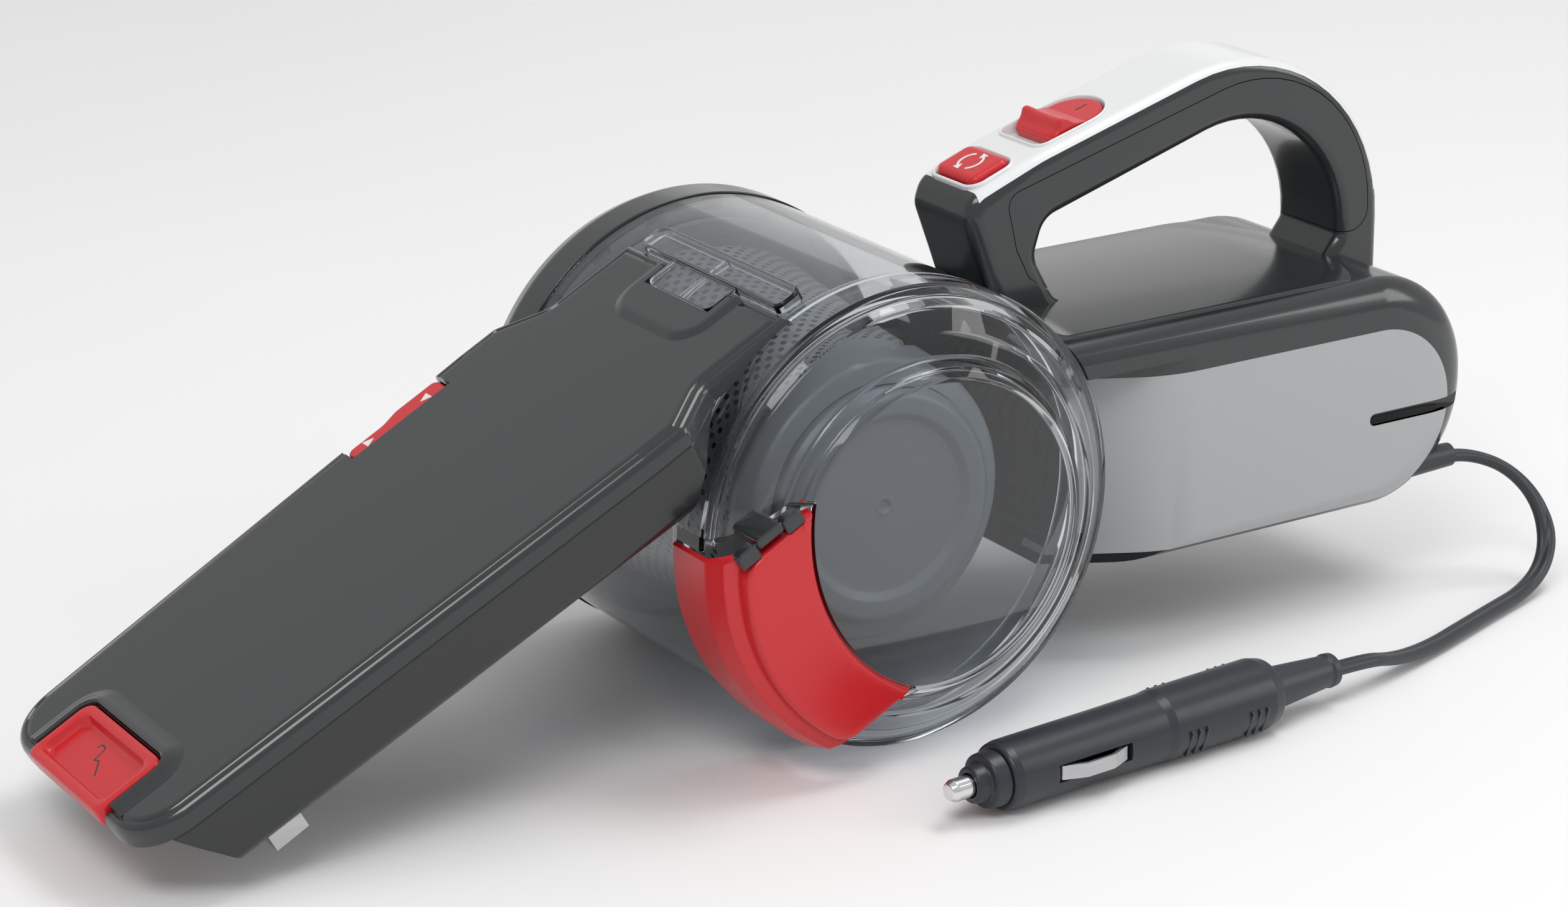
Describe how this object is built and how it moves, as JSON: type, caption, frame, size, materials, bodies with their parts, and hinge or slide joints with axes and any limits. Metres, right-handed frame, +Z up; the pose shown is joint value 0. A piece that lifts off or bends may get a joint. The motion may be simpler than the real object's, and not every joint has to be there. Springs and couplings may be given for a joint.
{
  "type": "handheld vacuum",
  "caption": "Handheld 12 V vacuum with a slab motor body under a loop handle, a clear dust drum across the front and a long flat nozzle that turns about the drum's axis.",
  "frame": {"origin": "middle of the footprint at floor level, on the plane that the drum's rims stand on", "axes": "+X to the rear along the motor body, +Y to the far side along the drum's axis, +Z up"},
  "size_m": [0.4884, 0.2071, 0.177],
  "materials": {
    "charcoal": "satin charcoal moulding",
    "silver": "silver-grey satin panel",
    "white": "pale silver gloss strip",
    "red": "gloss red moulding",
    "clear": "clear smoky plastic",
    "black": "blue-black matte plastic",
    "grip": "soft grip",
    "grey": "mid-grey plastic",
    "paper": "filter paper",
    "mesh": "perforated screen",
    "steel": "steel",
    "chrome": "bright plated metal",
    "copper": "wound armature",
    "rubber": "flexible lead and boots"
  },
  "bodies": {
    "motor_body": {"side_panel_near": "silver", "side_panel_far": "silver", "housing_near": "charcoal", "housing_far": "charcoal", "handle_near": "charcoal", "handle_far": "charcoal", "handle_strip": "white", "grip_inlay_near": "grip", "grip_inlay_far": "grip", "button_bezel": "white", "button_spring": "steel", "switch_module": "black", "hub_cap": "charcoal", "hub_plate": "grey", "pivot_bearing": "grey", "bridge_duct": "charcoal", "prefilter_screen": "mesh", "filter_spigot": "grey", "filter_pleats": "paper", "filter_cap": "grey", "filter_base": "grey", "motor_can": "steel", "motor_end_bell": "black", "motor_magnets": "black", "motor_bracket": "grey", "motor_mount": "black", "fan_scroll": "black", "housing_screws": "steel", "screw_bosses": "charcoal", "cord": "rubber", "cord_gland": "rubber", "plug_body": "black", "plug_nose": "black", "plug_fuse": "steel", "plug_relief": "rubber"},
    "pivot_button": {"pivot_button": "red"},
    "lock": {"lock_bar": "grey"},
    "power_switch": {"power_switch": "red"},
    "rotor": {"motor_shaft": "steel", "armature": "copper", "fan_impeller": "grey"},
    "drum": {"dust_drum": "clear", "detent_ring": "grey", "duct_connector": "clear", "nozzle_cover": "charcoal", "nozzle_duct": "black", "nozzle_clip": "chrome", "nozzle_screws": "steel"},
    "cover": {"clear_cover": "clear", "cover_seal": "rubber", "door_pin": "steel"},
    "door": {"dump_door": "red"},
    "flap": {"inlet_flap": "rubber"},
    "nozzle_release": {"nozzle_release": "red"},
    "crevice_tool": {"crevice_tool": "black", "latch_spring": "steel"},
    "tip_latch": {"tip_latch": "red"},
    "plug_tip": {"plug_contact": "chrome"},
    "plug_leaf_near": {"side_contact_near": "steel"},
    "plug_leaf_far": {"side_contact_far": "steel"}
  },
  "joints": [
    {"name": "drum_pivot", "type": "hinge", "parent": "motor_body", "child": "drum", "pos_m": [0.0108, -0.0043, 0.07], "axis": [0, -1, 0], "range_deg": [-48, 152]},
    {"name": "pivot_release", "type": "slide", "parent": "motor_body", "child": "pivot_button", "axis": [0.2776, 0, -0.9607], "range_m": [0, 0.004], "stiffness_N_per_m": 900, "springref_m": -0.002},
    {"name": "lock_release", "type": "slide", "parent": "motor_body", "child": "lock", "axis": [1, 0, 0], "range_m": [0, 0.0025]},
    {"name": "power_slide", "type": "slide", "parent": "motor_body", "child": "power_switch", "axis": [-0.9607, 0, -0.2776], "range_m": [0, 0.0045]},
    {"name": "motor_spin", "type": "hinge", "parent": "motor_body", "child": "rotor", "pos_m": [0.1208, -0.0003, 0.065], "axis": [1, 0, 0], "continuous": true},
    {"name": "cover_twist", "type": "hinge", "parent": "drum", "child": "cover", "pos_m": [0.0108, -0.0643, 0.07], "axis": [0, -1, 0], "range_deg": [0, 15]},
    {"name": "door_hinge", "type": "hinge", "parent": "cover", "child": "door", "pos_m": [-0.04747, -0.0779, 0.0816], "axis": [-0.8829, 0, -0.4695], "range_deg": [0, 90]},
    {"name": "flap_hinge", "type": "hinge", "parent": "drum", "child": "flap", "pos_m": [-0.06815, -0.0043, 0.10345], "axis": [0, -1, 0], "range_deg": [0, 55]},
    {"name": "nozzle_button", "type": "slide", "parent": "drum", "child": "nozzle_release", "axis": [0.4695, 0, -0.8829], "range_m": [0, 0.002], "stiffness_N_per_m": 900, "springref_m": -0.001},
    {"name": "crevice_slide", "type": "slide", "parent": "drum", "child": "crevice_tool", "axis": [-0.8829, 0, -0.4695], "range_m": [0, 0.08]},
    {"name": "tip_button", "type": "slide", "parent": "crevice_tool", "child": "tip_latch", "axis": [0.4695, 0, -0.8829], "range_m": [0, 0.0012], "stiffness_N_per_m": 900, "springref_m": -0.001},
    {"name": "plug_tip_spring", "type": "slide", "parent": "motor_body", "child": "plug_tip", "axis": [0.9966, 0.0819, 0], "range_m": [0, 0.0025], "stiffness_N_per_m": 900, "springref_m": -0.001},
    {"name": "plug_leaf_near_spring", "type": "slide", "parent": "motor_body", "child": "plug_leaf_near", "axis": [-0.0819, 0.9966, 0], "range_m": [0, 0.0015], "stiffness_N_per_m": 900, "springref_m": -0.001},
    {"name": "plug_leaf_far_spring", "type": "slide", "parent": "motor_body", "child": "plug_leaf_far", "axis": [0.0819, -0.9966, 0], "range_m": [0, 0.0015], "stiffness_N_per_m": 900, "springref_m": -0.001}
  ],
  "couplings": [
    {"joint": "lock_release", "follows": "pivot_release", "ratio": 0.625}
  ]
}
